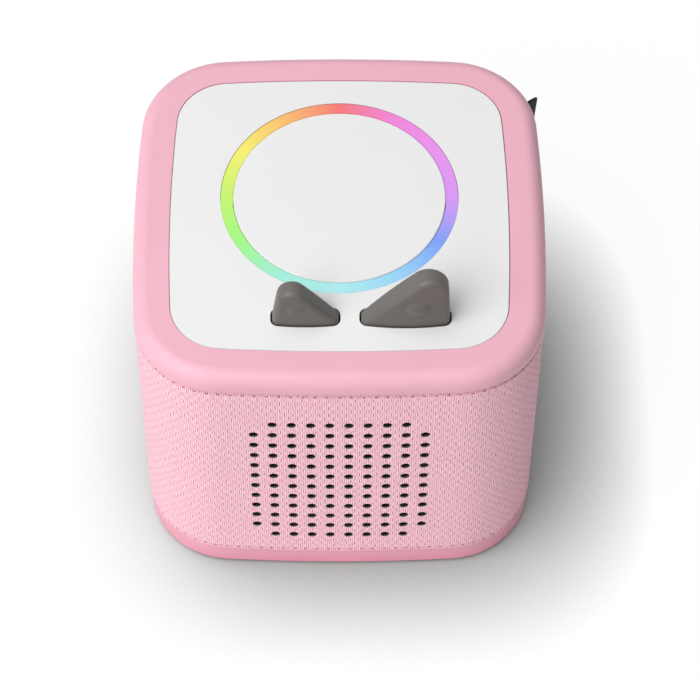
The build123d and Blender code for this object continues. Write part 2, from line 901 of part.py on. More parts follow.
with BuildPart() as speaker_basket:
    add(
        turned(
            (gasket_back, basket_radius),
            (gasket_back, basket_radius - basket_rim),
            (basket_back - basket_floor, basket_throat - basket_wall),
            (basket_back - basket_floor, basket_hole),
            (basket_back, basket_hole),
            (basket_back, basket_throat),
            (basket_flange_back, basket_radius - basket_flange),
            (basket_flange_back, basket_radius),
        )
    )
    revolve(axis=speaker_axis)
    with BuildSketch(speaker_plane(basket_flange_back)):
        add(speaker_holes(speaker_screw_hole))
    extrude(amount=basket_flange_cut, mode=Mode.SUBTRACT)
    # Windows between the spokes.
    with BuildSketch(speaker_plane(basket_window_back)):
        with PolarLocations(basket_window_circle, 4, start_angle=45):
            Rectangle(*basket_window)
    extrude(amount=basket_window_depth, mode=Mode.SUBTRACT)
save("speaker_basket", speaker_basket)

with BuildPart() as speaker_pole_plate:
    with BuildSketch(speaker_plane(top_plate_back)):
        add(ring(pole_plate_radius, coil_radius + coil_gap))
    extrude(amount=top_plate_back - basket_back)
save("speaker_pole_plate", speaker_pole_plate)

with BuildPart() as speaker_magnet:
    with BuildSketch(speaker_plane(magnet_back)):
        add(ring(magnet_radius, magnet_hole))
    extrude(amount=magnet_back - top_plate_back)
    chamfer(speaker_magnet.edges().filter_by(GeomType.CIRCLE), magnet_edge)
save("speaker_magnet", speaker_magnet)

with BuildPart() as speaker_yoke:
    with BuildSketch(speaker_plane(yoke_back)):
        Circle(yoke_radius)
    extrude(amount=yoke_back - magnet_back)
    with BuildSketch(speaker_plane(magnet_back)):
        Circle(coil_radius - coil_gap)
    extrude(amount=magnet_back - basket_back)
save("speaker_yoke", speaker_yoke)

cone_front = gasket_back
cone_back = -45.4
coil_back = -32.4
cone_radius = 19.5
cone_wall = 0.6
roll_width = 4.0
roll_wall = 0.4
roll_flange = (0.4, 1.1)
roll_flange_radius = cone_radius + roll_width + 0.35
cap_top = -48.0
cap_bend = (-47.3, 4.2)
cap_bend_inside = (-46.9, 4.0)
cap_wall = 0.4
cap_lip = 0.5
vent = 0.4

with BuildPart() as speaker_cone:
    add(
        turned(
            (cone_front, cone_radius),
            (cone_back, coil_radius + coil_wall),
            (cone_back + cone_wall, coil_radius + coil_wall),
            (cone_front + cone_wall, cone_radius),
        )
    )
    revolve(axis=speaker_axis)
save("speaker_cone", speaker_cone)

with BuildPart() as voice_coil:
    with BuildSketch(speaker_plane(coil_back)):
        add(ring(coil_radius + coil_wall, coil_radius))
    extrude(amount=coil_back - cone_back)
save("voice_coil", voice_coil)

with BuildPart() as dust_cap:
    with BuildSketch(Plane.YZ.shift_origin((0, 0, speaker_z))):
        with BuildLine():
            outer = coil_radius + coil_wall
            ThreePointArc((cone_back, outer), cap_bend, (cap_top, vent))
            Line((cap_top, vent), (cap_top + cap_wall, vent))
            ThreePointArc((cap_top + cap_wall, vent), cap_bend_inside, (cone_back, outer - cap_lip))
            Line((cone_back, outer - cap_lip), (cone_back, outer))
        make_face()
    revolve(axis=speaker_axis)
save("dust_cap", dust_cap)

# The surround: one half roll between the rim of the cone and the flange of the basket.
with BuildPart() as speaker_surround:
    with BuildSketch(Plane.YZ):
        with Locations((gasket_back, speaker_z + cone_radius + roll_width / 2)):
            Circle(roll_width / 2)
            Circle(roll_width / 2 - roll_wall, mode=Mode.SUBTRACT)
            with Locations((roll_width / 2, 0)):
                Rectangle(roll_width, 2 * roll_width, mode=Mode.SUBTRACT)
        with Locations((gasket_back - roll_flange[0] / 2, speaker_z + roll_flange_radius)):
            Rectangle(*roll_flange)
    revolve(axis=speaker_axis)
save("speaker_surround", speaker_surround)

# The spider: a corrugated ring that centres the coil.
spider_points = 7
spider_y = -41.0
spider_fold = 0.7
spider_wall = 0.3
spider_inner = coil_radius + coil_wall
spider_outer = 15.8
spider_step = (spider_outer - spider_inner) / (spider_points - 1)
spider_front = []
for index in range(spider_points):
    spider_front.append((spider_y + spider_fold * (index % 2), spider_inner + spider_step * index))
spider_rear = [(y + spider_wall, radius) for y, radius in reversed(spider_front)]

with BuildPart() as speaker_spider:
    add(turned(*spider_front, *spider_rear))
    revolve(axis=speaker_axis)
save("speaker_spider", speaker_spider)

with BuildPart() as speaker_gasket:
    with BuildSketch(speaker_plane(gasket_back)):
        add(ring(basket_radius, basket_radius - flange_width))
        add(speaker_holes(speaker_screw_hole), mode=Mode.SUBTRACT)
    extrude(amount=gasket_back - baffle_y)
save("speaker_gasket", speaker_gasket)

with BuildPart() as grille_cloth:
    with BuildSketch(speaker_plane(cloth_back)):
        Circle(basket_radius - flange_width)
    extrude(amount=cloth_depth)
save("grille_cloth", grille_cloth)

with BuildPart() as speaker_screws:
    with BuildSketch(speaker_plane(basket_flange_back)):
        add(speaker_holes(speaker_screw))
    extrude(amount=speaker_screw_length)
    with BuildSketch(speaker_plane(basket_flange_back)):
        add(speaker_holes(speaker_screw_head))
    extrude(amount=-speaker_screw_head_depth)
save("speaker_screws", speaker_screws)

# The board that the speaker's lead is soldered to.
terminal_x = -26.7
terminal_back = -46.0
terminal_size = (3.0, 7.0)

with BuildPart() as speaker_terminals:
    with BuildSketch(speaker_plane(terminal_back)):
        with Locations((terminal_x, 0)):
            Rectangle(*terminal_size)
    extrude(amount=terminal_back - basket_flange_back)
save("speaker_terminals", speaker_terminals)

# ---------------------------------------------------------------- main board, battery and ports

with BuildPart() as main_board:
    with BuildSketch(Plane.XY.offset(board_low)):
        with Locations((0, board_y)):
            RectangleRounded(board_width, board_back - board_front, board_corner)
            with GridLocations(post_pitch_x, post_pitch_y, 2, 2):
                Circle(board_hole, mode=Mode.SUBTRACT)
    extrude(amount=board_top - board_low)
save("main_board", main_board)

with BuildPart() as board_screws:
    with BuildSketch(Plane.XY.offset(board_top)):
        with Locations((0, board_y)):
            with GridLocations(post_pitch_x, post_pitch_y, 2, 2):
                Circle(board_screw)
    extrude(amount=-board_screw_length)
    with BuildSketch(Plane.XY.offset(board_top)):
        with Locations((0, board_y)):
            with GridLocations(post_pitch_x, post_pitch_y, 2, 2):
                Circle(board_screw_head)
    extrude(amount=board_screw_head_depth)
save("board_screws", board_screws)

# Shield can, processor, memory and the radio's module, as x, y, width, depth and height.
chips = [
    (-18.0, 25.0, 16.0, 14.0, 2.6),
    (4.0, 26.0, 10.0, 10.0, 1.2),
    (18.0, 27.0, 8.0, 10.0, 1.0),
    (20.0, 14.0, 6.0, 5.0, 1.4),
]

with BuildPart() as board_chips:
    for chip_x, chip_y, chip_width, chip_depth, chip_height in chips:
        with BuildSketch(Plane.XY.offset(board_top)):
            with Locations((chip_x, chip_y)):
                Rectangle(chip_width, chip_depth)
        extrude(amount=chip_height)
save("board_chips", board_chips)

with BuildPart() as battery_pack:
    with BuildSketch(Plane.XY.offset(floor_top)):
        with Locations((0, board_y)):
            RectangleRounded(battery_size[0], battery_size[1], battery_corner)
    extrude(amount=battery_size[2])
    fillet(battery_pack.edges().group_by(Axis.Z)[-1], battery_round)
save("battery_pack", battery_pack)

with BuildPart() as port_bezel:
    with BuildSketch(BACK.offset(bezel_y)):
        with Locations((0, port_z)):
            RectangleRounded(port_width, port_height, port_corner)
    extrude(amount=port_height)
    with BuildSketch(Plane.XY.offset(port_z - port_height)):
        add(squircle(port_face))
    extrude(amount=2 * port_height, mode=Mode.INTERSECT)
    # The flange behind the shell's wall.
    with BuildSketch(BACK.offset(flange_y)):
        with Locations((0, port_z)):
            RectangleRounded(
                port_width + 2 * bezel_flange,
                port_height + 2 * bezel_flange,
                port_corner + bezel_flange,
            )
    extrude(amount=bezel_flange_depth)
    with BuildSketch(BACK.offset(flange_y)):
        with Locations((0, port_z)):
            RectangleRounded(port_width, port_height, port_corner)
    extrude(amount=bezel_y - flange_y + bezel_flange_depth)
    with BuildSketch(BACK.offset(flange_y)):
        with Locations((-jack_x, port_z)):
            Circle(jack_nose + jack_gap)
        with Locations((-usb_x, port_z)):
            SlotOverall(*usb_opening)
        with Locations((0, port_z)):
            Circle(button_radius + button_gap)
    extrude(amount=port_height, mode=Mode.SUBTRACT)
save("port_bezel", port_bezel)

with BuildPart() as jack_socket:
    with BuildSketch(Plane.XY.offset(board_top)):
        with Locations((jack_x, jack_y)):
            Rectangle(*jack_body)
    extrude(amount=2 * (port_z - board_top))
    with BuildSketch(BACK.offset(jack_y)):
        with Locations((-jack_x, port_z)):
            Circle(jack_nose)
    extrude(amount=port_nose - jack_y)
    with BuildSketch(BACK.offset(port_nose)):
        with Locations((-jack_x, port_z)):
            Circle(jack_bore)
    extrude(amount=-jack_bore_depth, mode=Mode.SUBTRACT)
save("jack_socket", jack_socket)

with BuildPart() as usb_socket:
    with BuildSketch(BACK.offset(usb_back)):
        with Locations((-usb_x, port_z)):
            SlotOverall(*usb_size)
    extrude(amount=port_nose - usb_recess - usb_back)
    with BuildSketch(BACK.offset(usb_floor)):
        with Locations((-usb_x, port_z)):
            SlotOverall(usb_size[0] - 2 * usb_wall, usb_size[1] - 2 * usb_wall)
            Rectangle(*usb_tongue, mode=Mode.SUBTRACT)
    extrude(amount=port_nose - usb_floor, mode=Mode.SUBTRACT)
    with BuildSketch(Plane.XY.offset(board_top)):
        with Locations((usb_x, usb_foot_y)):
            Rectangle(*usb_foot)
    extrude(amount=port_z - usb_size[1] / 2 + usb_foot_sink - board_top)
save("usb_socket", usb_socket)

with BuildPart() as power_switch:
    with BuildSketch(Plane.XY.offset(board_top)):
        with Locations((0, switch_face - power_switch_size[1] / 2)):
            Rectangle(*power_switch_size)
    extrude(amount=2 * (port_z - board_top))
    with BuildSketch(BACK.offset(switch_face)):
        with Locations((0, port_z)):
            Circle(power_plunger_radius + running_gap)
    extrude(amount=-power_switch_bore, mode=Mode.SUBTRACT)
save("power_switch", power_switch)

with BuildPart() as power_plunger:
    with BuildSketch(BACK.offset(power_plunger_face)):
        with Locations((0, port_z)):
            Circle(power_plunger_radius)
    extrude(amount=-power_plunger_length)
save("power_plunger", power_plunger)

with BuildPart() as power_button:
    with BuildSketch(BACK.offset(button_back)):
        with Locations((0, port_z)):
            Circle(button_radius)
    extrude(amount=button_front - button_back)
    fillet(power_button.faces().sort_by(Axis.Y)[-1].edges(), button_edge)
    with BuildSketch(BACK.offset(button_back)):
        with Locations((0, port_z)):
            Circle(button_stem)
    extrude(amount=-(button_back - power_plunger_face - press_gap))
save("power_button", power_button)

# ---------------------------------------------------------------- connectors and leads

connector_size = (5.0, 6.0)
connector_height = 5.0

# Where each lead meets the main board, as x and y.
speaker_plug = (terminal_x, 14.0)
battery_plug = (29.0, 20.0)
deck_plug = (-29.0, 38.0)

# The heights at which the leads turn, and how far to the side the battery's lead runs.
battery_lead_top = 34.0
battery_lead_low = 10.5
battery_lead_side = 41.0
deck_lead_turns = (50.0, 75.0)

with BuildPart() as board_connectors:
    with BuildSketch(Plane.XY.offset(board_top)):
        with Locations(speaker_plug, battery_plug, deck_plug):
            Rectangle(*connector_size)
    extrude(amount=connector_height)
save("board_connectors", board_connectors)


def lead(points, radii):
    """A round lead along straight runs joined by tangent arcs."""
    with BuildPart() as tube:
        with BuildLine() as path:
            FilletPolyline(*points, radius=radii)
        with BuildSketch(Plane(origin=path.line @ 0, z_dir=path.line % 0)):
            Circle(lead_radius)
        sweep()
    return tube


plug_z = board_top + connector_height
speaker_lead = lead(
    [
        (*speaker_plug, plug_z),
        (*speaker_plug, speaker_z),
        (terminal_x, terminal_back, speaker_z),
    ],
    [10.0],
)
save("speaker_lead", speaker_lead)

battery_lead = lead(
    [
        (*battery_plug, plug_z),
        (*battery_plug, battery_lead_top),
        (battery_lead_side, battery_plug[1], battery_lead_top),
        (battery_lead_side, board_y, battery_lead_low),
        (battery_size[0] / 2, board_y, battery_lead_low),
    ],
    [3.9, 5.0, 6.0],
)
save("battery_lead", battery_lead)

deck_lead = lead(
    [
        (*deck_plug, plug_z),
        (*deck_plug, deck_lead_turns[0]),
        (*deck_hole, deck_lead_turns[1]),
        (*deck_hole, led_low),
    ],
    [40.0, 40.0],
)
save("deck_lead", deck_lead)
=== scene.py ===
"""The looks of an audio story player: a knitted cube with a pink rim, a lit ring and two ear-shaped keys."""

from math import asin, atan2, cos, exp, hypot, pi, radians, sin, sqrt

import bpy
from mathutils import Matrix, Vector


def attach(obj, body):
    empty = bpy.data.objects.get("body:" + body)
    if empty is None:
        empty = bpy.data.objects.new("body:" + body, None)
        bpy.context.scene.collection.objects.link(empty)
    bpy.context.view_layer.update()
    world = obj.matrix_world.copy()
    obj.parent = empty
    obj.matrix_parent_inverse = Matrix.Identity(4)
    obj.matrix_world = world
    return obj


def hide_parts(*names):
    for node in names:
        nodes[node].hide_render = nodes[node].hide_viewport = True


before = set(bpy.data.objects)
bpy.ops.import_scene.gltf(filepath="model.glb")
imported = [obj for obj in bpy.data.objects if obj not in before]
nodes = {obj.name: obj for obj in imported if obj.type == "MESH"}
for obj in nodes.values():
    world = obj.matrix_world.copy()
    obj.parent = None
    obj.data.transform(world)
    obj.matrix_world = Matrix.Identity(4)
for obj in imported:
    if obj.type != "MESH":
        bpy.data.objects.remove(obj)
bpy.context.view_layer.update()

MM = 0.001

# The body's outline, in millimetres: four shallow side arcs and four tangent corner arcs.
HALF_WIDTH = 61.0
SIDE_RADIUS = 576.0
CORNER_RADIUS = 26.4

# The knitted sleeve between the base and the rim.
COVER_LOW = 8.6
COVER_HIGH = 96.1
COVER_INSET = 0.2
LINING_DEPTH = 1.15
KNIT_REPEATS = 168
KNIT_ROW = 1.895

# The grille's holes in the sleeve.
PITCH = 5.6
HOLE_RADIUS = 1.34
GRILLE_LOW = 18.9
GRILLE_ROWS = 12
GRILLE_COLUMNS = ((1, 10), (0, 12), (0, 12), (0, 12), (0, 12))
CELL_STEPS = 8
# From the grid to the hole, as (growth, depth, material): the flat round it, its rounded lip, the cut edge
# of the grey lining, and behind that a black band that is painted shade deep in the hole.
LIP_STEPS = (
    (0.62, 0.0, 0),
    (0.2, 0.0, 0),
    (0.08, 0.04, 0),
    (0.0, 0.16, 0),
    (0.0, 0.4, 1),
    (0.0, 0.62, 1),
    (0.0, LINING_DEPTH, 2),
)

# The stitch rows that hold the sleeve's hems.
STITCH_PITCH = 3.5
STITCH_ROWS = (95.2, 10.2)

# The port panel in the back, which the sleeve leaves open.
PORT = (0.0, 23.2)
PORT_HALF = (22.2, 8.2)
PORT_CORNER = 4.2
PORT_FIELD = (28.0, 11.2)

RING_CENTRE = 5.8


# ---------------------------------------------------------------- materials


def tone(code, alpha=1.0):
    """An sRGB hex colour as the linear colour that the shaders take."""
    parts = [int(code[i : i + 2], 16) / 255 for i in (1, 3, 5)]
    return [c / 12.92 if c <= 0.04045 else ((c + 0.055) / 1.055) ** 2.4 for c in parts] + [alpha]


def add(tree, kind, inputs=(), **settings):
    """Adds a node. Its inputs take a value, or a link where the value is another node's socket."""
    made = tree.nodes.new("ShaderNode" + kind)
    for name, value in settings.items():
        setattr(made, name, value)
    for name, value in dict(inputs).items():
        if isinstance(value, bpy.types.NodeSocket):
            tree.links.new(value, made.inputs[name])
        else:
            made.inputs[name].default_value = value
    return made


def finish(name, **surface):
    """A material with a Principled surface: returns it with its tree and its shader."""
    material = bpy.data.materials.new(name)
    material.use_nodes = True
    tree = material.node_tree
    tree.nodes.clear()
    shader = add(tree, "BsdfPrincipled", {key.replace("_", " "): value for key, value in surface.items()})
    add(tree, "OutputMaterial", {"Surface": shader.outputs[0]})
    return material, tree, shader


def moulded(name, colour, roughness, ior, grain, depth, shift=0.03, joint=None, **surface):
    """Moulded plastic or rubber: the mould's spark-eroded grain, grain mm wide and depth mm deep,
    with a slow drift of colour and gloss over the piece. The shade colour and its reach in mm are painted
    shade: ambient occlusion lays that colour into the gaps and hollows where the piece meets another one."""
    material, tree, shader = finish(name, Roughness=roughness, IOR=ior, **surface)
    place = add(tree, "TexCoord").outputs["Object"]
    fine = add(
        tree, "TexNoise", {"Vector": place, "Scale": 1 / (grain * MM), "Detail": 2.0, "Roughness": 0.6}
    )
    broad = add(tree, "TexNoise", {"Vector": place, "Scale": 1 / (35 * MM), "Detail": 1.0})
    drift = add(tree, "MapRange", {"Value": broad.outputs[0], "To Min": 1 - shift, "To Max": 1 + shift})
    tint = add(tree, "VectorMath", {0: tone(colour)[:3], "Scale": drift.outputs[0]}, operation="SCALE")
    colours = tint.outputs[0]
    # Painted shade: the shade colour is laid into the gaps and hollows that ambient occlusion finds.
    if joint:
        close = add(tree, "AmbientOcclusion", {"Distance": joint[1] * MM}, samples=8).outputs["AO"]
        colours = add(tree, "Mix", {0: close, 6: tone(joint[0]), 7: colours}, data_type="RGBA").outputs[2]
    gloss = add(
        tree, "MapRange", {"Value": fine.outputs[0], "To Min": roughness - 0.04, "To Max": roughness + 0.04}
    )
    relief = add(tree, "Bump", {"Strength": 0.5, "Distance": depth * MM, "Height": fine.outputs[0]})
    tree.links.new(colours, shader.inputs["Base Color"])
    tree.links.new(gloss.outputs[0], shader.inputs["Roughness"])
    tree.links.new(relief.outputs[0], shader.inputs["Normal"])
    return material


def knit():
    """Polyester knit: upright eyelets in a brick pattern, each a thin slot between two lips, with ribs and
    faint valleys between the eyelets. Painted shade darkens the slots and valleys and painted highlights
    lighten the lips and ribs, so that the sleeve glitters with small upright dashes. The pattern follows the
    sleeve's own coordinates, in mm round it and up it."""
    material, tree, shader = finish("polyester_knit_pink", Roughness=0.85, IOR=1.5, Specular_IOR_Level=0.2)

    def calc(operation, *values, **more):
        return add(tree, "Math", dict(enumerate(values)), operation=operation, **more).outputs[0]

    def spread(value, **limits):
        """The value on a new scale, smoothly eased at both ends."""
        limits = {key.replace("_", " "): limit for key, limit in limits.items()}
        ease = dict(interpolation_type="SMOOTHSTEP")
        return add(tree, "MapRange", {"Value": value, **limits}, **ease).outputs[0]

    def blend(share, under, over):
        """The colour over, laid on the colour under by a share."""
        return add(tree, "Mix", {0: share, 6: under, 7: over}, data_type="RGBA").outputs[2]

    cloth = add(tree, "UVMap", uv_map="cloth_mm").outputs[0]
    wander = add(tree, "TexNoise", {"Vector": cloth, "Scale": 0.9, "Detail": 1.0}, noise_dimensions="2D")
    across, up = add(tree, "SeparateXYZ", {0: cloth}).outputs[:2]
    # Yarn is never quite even: each eyelet wanders by up to a tenth of a millimetre.
    across = calc("MULTIPLY_ADD", wander.outputs[0], 0.24, across)
    row = calc("DIVIDE", up, KNIT_ROW)
    odd = calc("MULTIPLY", calc("MODULO", calc("FLOOR", row), 2.0), 0.5)
    repeat = calc("ADD", calc("DIVIDE", across, KNIT_WIDTH), odd)
    # Millimetres from the middle of the cell.
    x = calc("MULTIPLY", calc("SUBTRACT", calc("FRACT", repeat), 0.5), KNIT_WIDTH)
    y = calc("MULTIPLY", calc("SUBTRACT", calc("FRACT", row), 0.5), KNIT_ROW)
    cell = add(
        tree,
        "TexWhiteNoise",
        {0: add(tree, "CombineXYZ", {0: calc("FLOOR", repeat), 1: calc("FLOOR", row)}).outputs[0]},
        noise_dimensions="2D",
    ).outputs[0]

    def lens(middle, half_width, half_height):
        """1 inside an upright lens-shaped spot at middle mm from the cell's middle, 0 outside it."""
        wide = calc("DIVIDE", calc("SUBTRACT", x, middle), half_width)
        tall = calc("DIVIDE", y, half_height)
        far = calc("ADD", calc("MULTIPLY", wide, wide), calc("MULTIPLY", tall, tall))
        return spread(far, From_Min=1.6, From_Max=0.1)

    def line(middle):
        """1 along an upright line through the whole cell, 0 beside it."""
        wide = calc("ABSOLUTE", calc("SUBTRACT", x, middle))
        return add(tree, "MapRange", {"Value": wide, "From Min": 0.22, "From Max": 0.04}).outputs[0]

    slot = lens(-0.38, 0.19, 1.05)
    valleys = calc("MAXIMUM", line(0.265), line(-1.025))
    lips = calc("MAXIMUM", lens(-0.06, 0.2, 1.15), lens(-0.7, 0.2, 1.15))
    ribs = calc("MAXIMUM", lens(0.59, 0.2, 1.15), lens(1.12, 0.2, 1.15))
    uneven = add(tree, "MapRange", {"Value": cell, "To Min": 0.7, "To Max": 1.15}).outputs[0]
    # Painted shade in the needle holes at the ends of the hem stitches.
    hem_shade = None
    for height in STITCH_ROWS:
        along = calc("DIVIDE", add(tree, "SeparateXYZ", {0: cloth}).outputs[0], STITCH_PITCH_FIT)
        side = calc("MULTIPLY", calc("SUBTRACT", calc("FRACT", along), 0.5), STITCH_PITCH_FIT / 0.62)
        rise = calc("DIVIDE", calc("SUBTRACT", up, height), 0.36)
        far = calc("ADD", calc("MULTIPLY", side, side), calc("MULTIPLY", rise, rise))
        spot = spread(far, From_Min=1.5, From_Max=0.2)
        hem_shade = spot if hem_shade is None else calc("MAXIMUM", hem_shade, spot)
    # Painted shade: the rolled edge under the rim is darkened for the rim's shadow.
    rim_shadow_band = {"Value": up, "From Min": COVER_HIGH - 1.1, "From Max": COVER_HIGH - 0.3}
    rim_shadow = add(tree, "MapRange", rim_shadow_band).outputs[0]
    hem_shade = calc("MAXIMUM", hem_shade, calc("MULTIPLY", rim_shadow, 0.3))
    # Painted shade in the slots and valleys, and painted highlights on the lips and ribs.
    dark = calc("MAXIMUM", calc("MULTIPLY", slot, uneven), calc("MULTIPLY", valleys, 0.32))
    light = calc("MULTIPLY", calc("MAXIMUM", lips, calc("MULTIPLY", ribs, 0.5)), uneven)
    flat = dict(noise_dimensions="2D")
    fuzz = add(tree, "TexNoise", {"Vector": cloth, "Scale": 4.5, "Detail": 2.0}, **flat).outputs[0]
    # Pale yarn, with painted highlights on the lips, painted shade in deep pink in the slots, and painted
    # shade in plum at the hems' needle holes and along the rolled edge under the rim.
    base = blend(light, tone("#FCC0D0"), tone("#FFEAF1"))
    base = blend(calc("MULTIPLY", dark, 0.8), base, tone("#C24A62"))
    base = blend(calc("MULTIPLY", hem_shade, 0.85), base, tone("#A04C66"))
    # Slow streaks along the courses, a tenth lighter or darker.
    drawn = add(tree, "Mapping", {0: cloth, 3: (1.9, 0.55, 1.0)}).outputs[0]
    streak = add(tree, "TexNoise", {"Vector": drawn, "Scale": 1.0, "Detail": 2.0}, **flat).outputs[0]
    swing = {"Value": streak, "From Min": 0.3, "From Max": 0.7, "To Min": 0.9, "To Max": 1.1}
    patchy = add(tree, "MapRange", swing)
    base = add(tree, "VectorMath", {0: base, "Scale": patchy.outputs[0]}, operation="SCALE").outputs[0]
    height = calc("SUBTRACT", calc("MULTIPLY", light, 0.6), calc("MULTIPLY", dark, 0.9))
    height = calc("SUBTRACT", height, hem_shade)
    height = calc("MULTIPLY_ADD", fuzz, 0.25, height)
    relief = add(tree, "Bump", {"Strength": 0.4, "Distance": 0.1 * MM, "Height": height})
    tree.links.new(base, shader.inputs["Base Color"])
    tree.links.new(relief.outputs[0], shader.inputs["Normal"])
    shader.inputs["Sheen Weight"].default_value = 0.1
    shader.inputs["Sheen Roughness"].default_value = 0.5
    shader.inputs["Sheen Tint"].default_value = tone("#F5A9BC")
    return material


def lit_diffuser():
    """Milky polycarbonate over twelve coloured lamps: the hues run once round the ring and melt into
    each other."""
    lamps = dict(Emission_Strength=0.8)
    material, tree, shader = finish("milky_polycarbonate_lit", Roughness=0.35, IOR=1.58, **lamps)
    place = add(tree, "TexCoord").outputs["Object"]
    x, y, _ = add(tree, "SeparateXYZ", {0: place}).outputs
    back = add(tree, "Math", {0: y, 1: RING_CENTRE * MM}, operation="SUBTRACT").outputs[0]
    turn = add(tree, "Math", {0: x, 1: back}, operation="ARCTAN2").outputs[0]
    # 0 at the front, and then clockwise: left, back, right.
    share = add(tree, "MapRange", {"Value": turn, "From Min": -pi, "From Max": pi}).outputs[0]
    ramp = add(tree, "ValToRGB", {0: share})
    for index, code in enumerate(LAMP_COLOURS + LAMP_COLOURS[:1]):
        at = index / len(LAMP_COLOURS)
        stop = ramp.color_ramp.elements[index] if index < 2 else ramp.color_ramp.elements.new(at)
        stop.position = at
        stop.color = tone(code)
    tree.links.new(ramp.outputs[0], shader.inputs["Emission Color"])
    dim = add(tree, "VectorMath", {0: ramp.outputs[0], "Scale": 0.25}, operation="SCALE")
    tree.links.new(dim.outputs[0], shader.inputs["Base Color"])
    return material


def ribbon():
    """Woven ribbon: fine cross ribs with a rounded selvedge, nearly black."""
    material, tree, shader = finish("woven_ribbon_black", Roughness=0.8, IOR=1.5)
    place = add(tree, "TexCoord").outputs["Object"]
    ribs = add(
        tree,
        "TexWave",
        {"Vector": place, "Scale": 1 / (0.5 * MM) / 20, "Distortion": 0.4, "Detail": 1.0},
        bands_direction="Z",
    )
    shade = add(tree, "Mix", {0: ribs.outputs[1], 6: tone("#1C1A1B"), 7: tone("#3A3637")}, data_type="RGBA")
    relief = add(tree, "Bump", {"Strength": 0.5, "Distance": 0.1 * MM, "Height": ribs.outputs[1]})
    tree.links.new(shade.outputs[2], shader.inputs["Base Color"])
    tree.links.new(relief.outputs[0], shader.inputs["Normal"])
    return material


def brushed_steel():
    """Zinc-plated steel: bright, with fine marks of the tool in one direction."""
    zinc = tone("#B4B4B2")
    material, tree, shader = finish("zinc_plated_steel", Metallic=1.0, Roughness=0.35, Base_Color=zinc)
    place = add(tree, "TexCoord").outputs["Object"]
    stretched = add(tree, "Mapping", {0: place, 3: (1.0, 1.0, 0.08)})
    marks = add(tree, "TexNoise", {"Vector": stretched.outputs[0], "Scale": 1 / (0.3 * MM), "Detail": 3.0})
    gloss = add(tree, "MapRange", {"Value": marks.outputs[0], "To Min": 0.25, "To Max": 0.5})
    relief = add(tree, "Bump", {"Strength": 0.3, "Distance": 0.02 * MM, "Height": marks.outputs[0]})
    tree.links.new(gloss.outputs[0], shader.inputs["Roughness"])
    tree.links.new(relief.outputs[0], shader.inputs["Normal"])
    return material


# ---------------------------------------------------------------- the body's outline


def outline(side_steps, corner_steps, front_angles=()):
    """Rays round the body, anticlockwise from the middle of the back right corner: (centre x, centre y,
    direction x, direction y, radius). A shell at an inset has its point at
    centre + direction * (radius - inset)."""
    reach = SIDE_RADIUS - HALF_WIDTH
    corner = (sqrt(2 * (SIDE_RADIUS - CORNER_RADIUS) ** 2 - reach**2) - reach) / 2
    turn = atan2(corner, corner + reach)
    rays = []
    for quarter in range(4):
        facing = pi / 2 * (quarter + 1)
        for step in range(corner_steps):
            angle = facing - pi / 2 + turn + (pi / 2 - 2 * turn) * step / corner_steps
            cx, cy = (cos(facing - pi / 4) * corner * sqrt(2), sin(facing - pi / 4) * corner * sqrt(2))
            rays.append((cx, cy, cos(angle), sin(angle), CORNER_RADIUS))
        angles = [-turn + 2 * turn * step / side_steps for step in range(side_steps)]
        if quarter in front_angles:
            inner = front_angles[quarter]
            angles = [a for a in angles if a < inner[0] - 0.001 or a > inner[-1] + 0.001] + inner
        for angle in sorted(angles):
            cx, cy = -reach * cos(facing), -reach * sin(facing)
            rays.append((cx, cy, cos(facing + angle), sin(facing + angle), SIDE_RADIUS))
    half = corner_steps // 2
    return rays[half:] + rays[:half]


def at_inset(ray, inset):
    cx, cy, dx, dy, radius = ray
    return cx + dx * (radius - inset), cy + dy * (radius - inset)


def solid_mesh(name, points, faces, materials, uv=None, body="root", face_materials=None):
    """A smooth mesh object from points in mm, riding on a body."""
    mesh = bpy.data.meshes.new(name)
    mesh.from_pydata([(x * MM, y * MM, z * MM) for x, y, z in points], [], faces)
    for material in materials:
        mesh.materials.append(material)
    mesh.polygons.foreach_set("use_smooth", [True] * len(faces))
    if face_materials:
        mesh.polygons.foreach_set("material_index", face_materials)
    if uv:
        layer = mesh.uv_layers.new(name="cloth_mm")
        for loop in mesh.loops:
            layer.data[loop.index].uv = uv[loop.vertex_index]
    mesh.update()
    piece = bpy.data.objects.new(name, mesh)
    bpy.context.scene.collection.objects.link(piece)
    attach(piece, body)
    return piece


# ---------------------------------------------------------------- the knitted sleeve

FACE_RADIUS = SIDE_RADIUS - COVER_INSET
FRONT_FIELD = [asin((-PITCH * 5 + PITCH / CELL_STEPS * i) / FACE_RADIUS) for i in range(81)]
BACK_FIELD = [asin((-PORT_FIELD[0] + PORT_FIELD[0] / 20 * i) / FACE_RADIUS) for i in range(41)]
SLEEVE = outline(24, 24, {2: FRONT_FIELD, 0: BACK_FIELD})


def distances(rays, inset):
    """Millimetres round the outline at each ray, and all the way round at the end."""
    points = [at_inset(ray, inset) for ray in rays]
    points.append(points[0])
    total = [0.0]
    for (ax, ay), (bx, by) in zip(points, points[1:]):
        total.append(total[-1] + hypot(bx - ax, by - ay))
    return total


ROUND = distances(SLEEVE, COVER_INSET)
GIRTH = ROUND[-1]
KNIT_WIDTH = GIRTH / KNIT_REPEATS
STITCHES = round(GIRTH / STITCH_PITCH)
STITCH_PITCH_FIT = GIRTH / STITCHES


def hem_inset(z):
    """The sleeve's face rolls in at its hems and is pulled in a little along each stitch row."""
    inset = COVER_INSET
    for edge in (COVER_LOW, COVER_HIGH):
        near = abs(z - edge)
        if near < 1.0:
            inset += 1.0 - sqrt(1.0 - (1.0 - near) ** 2)
    for row in STITCH_ROWS:
        inset += 0.22 * exp(-(((z - row) / 0.55) ** 2))
    return inset


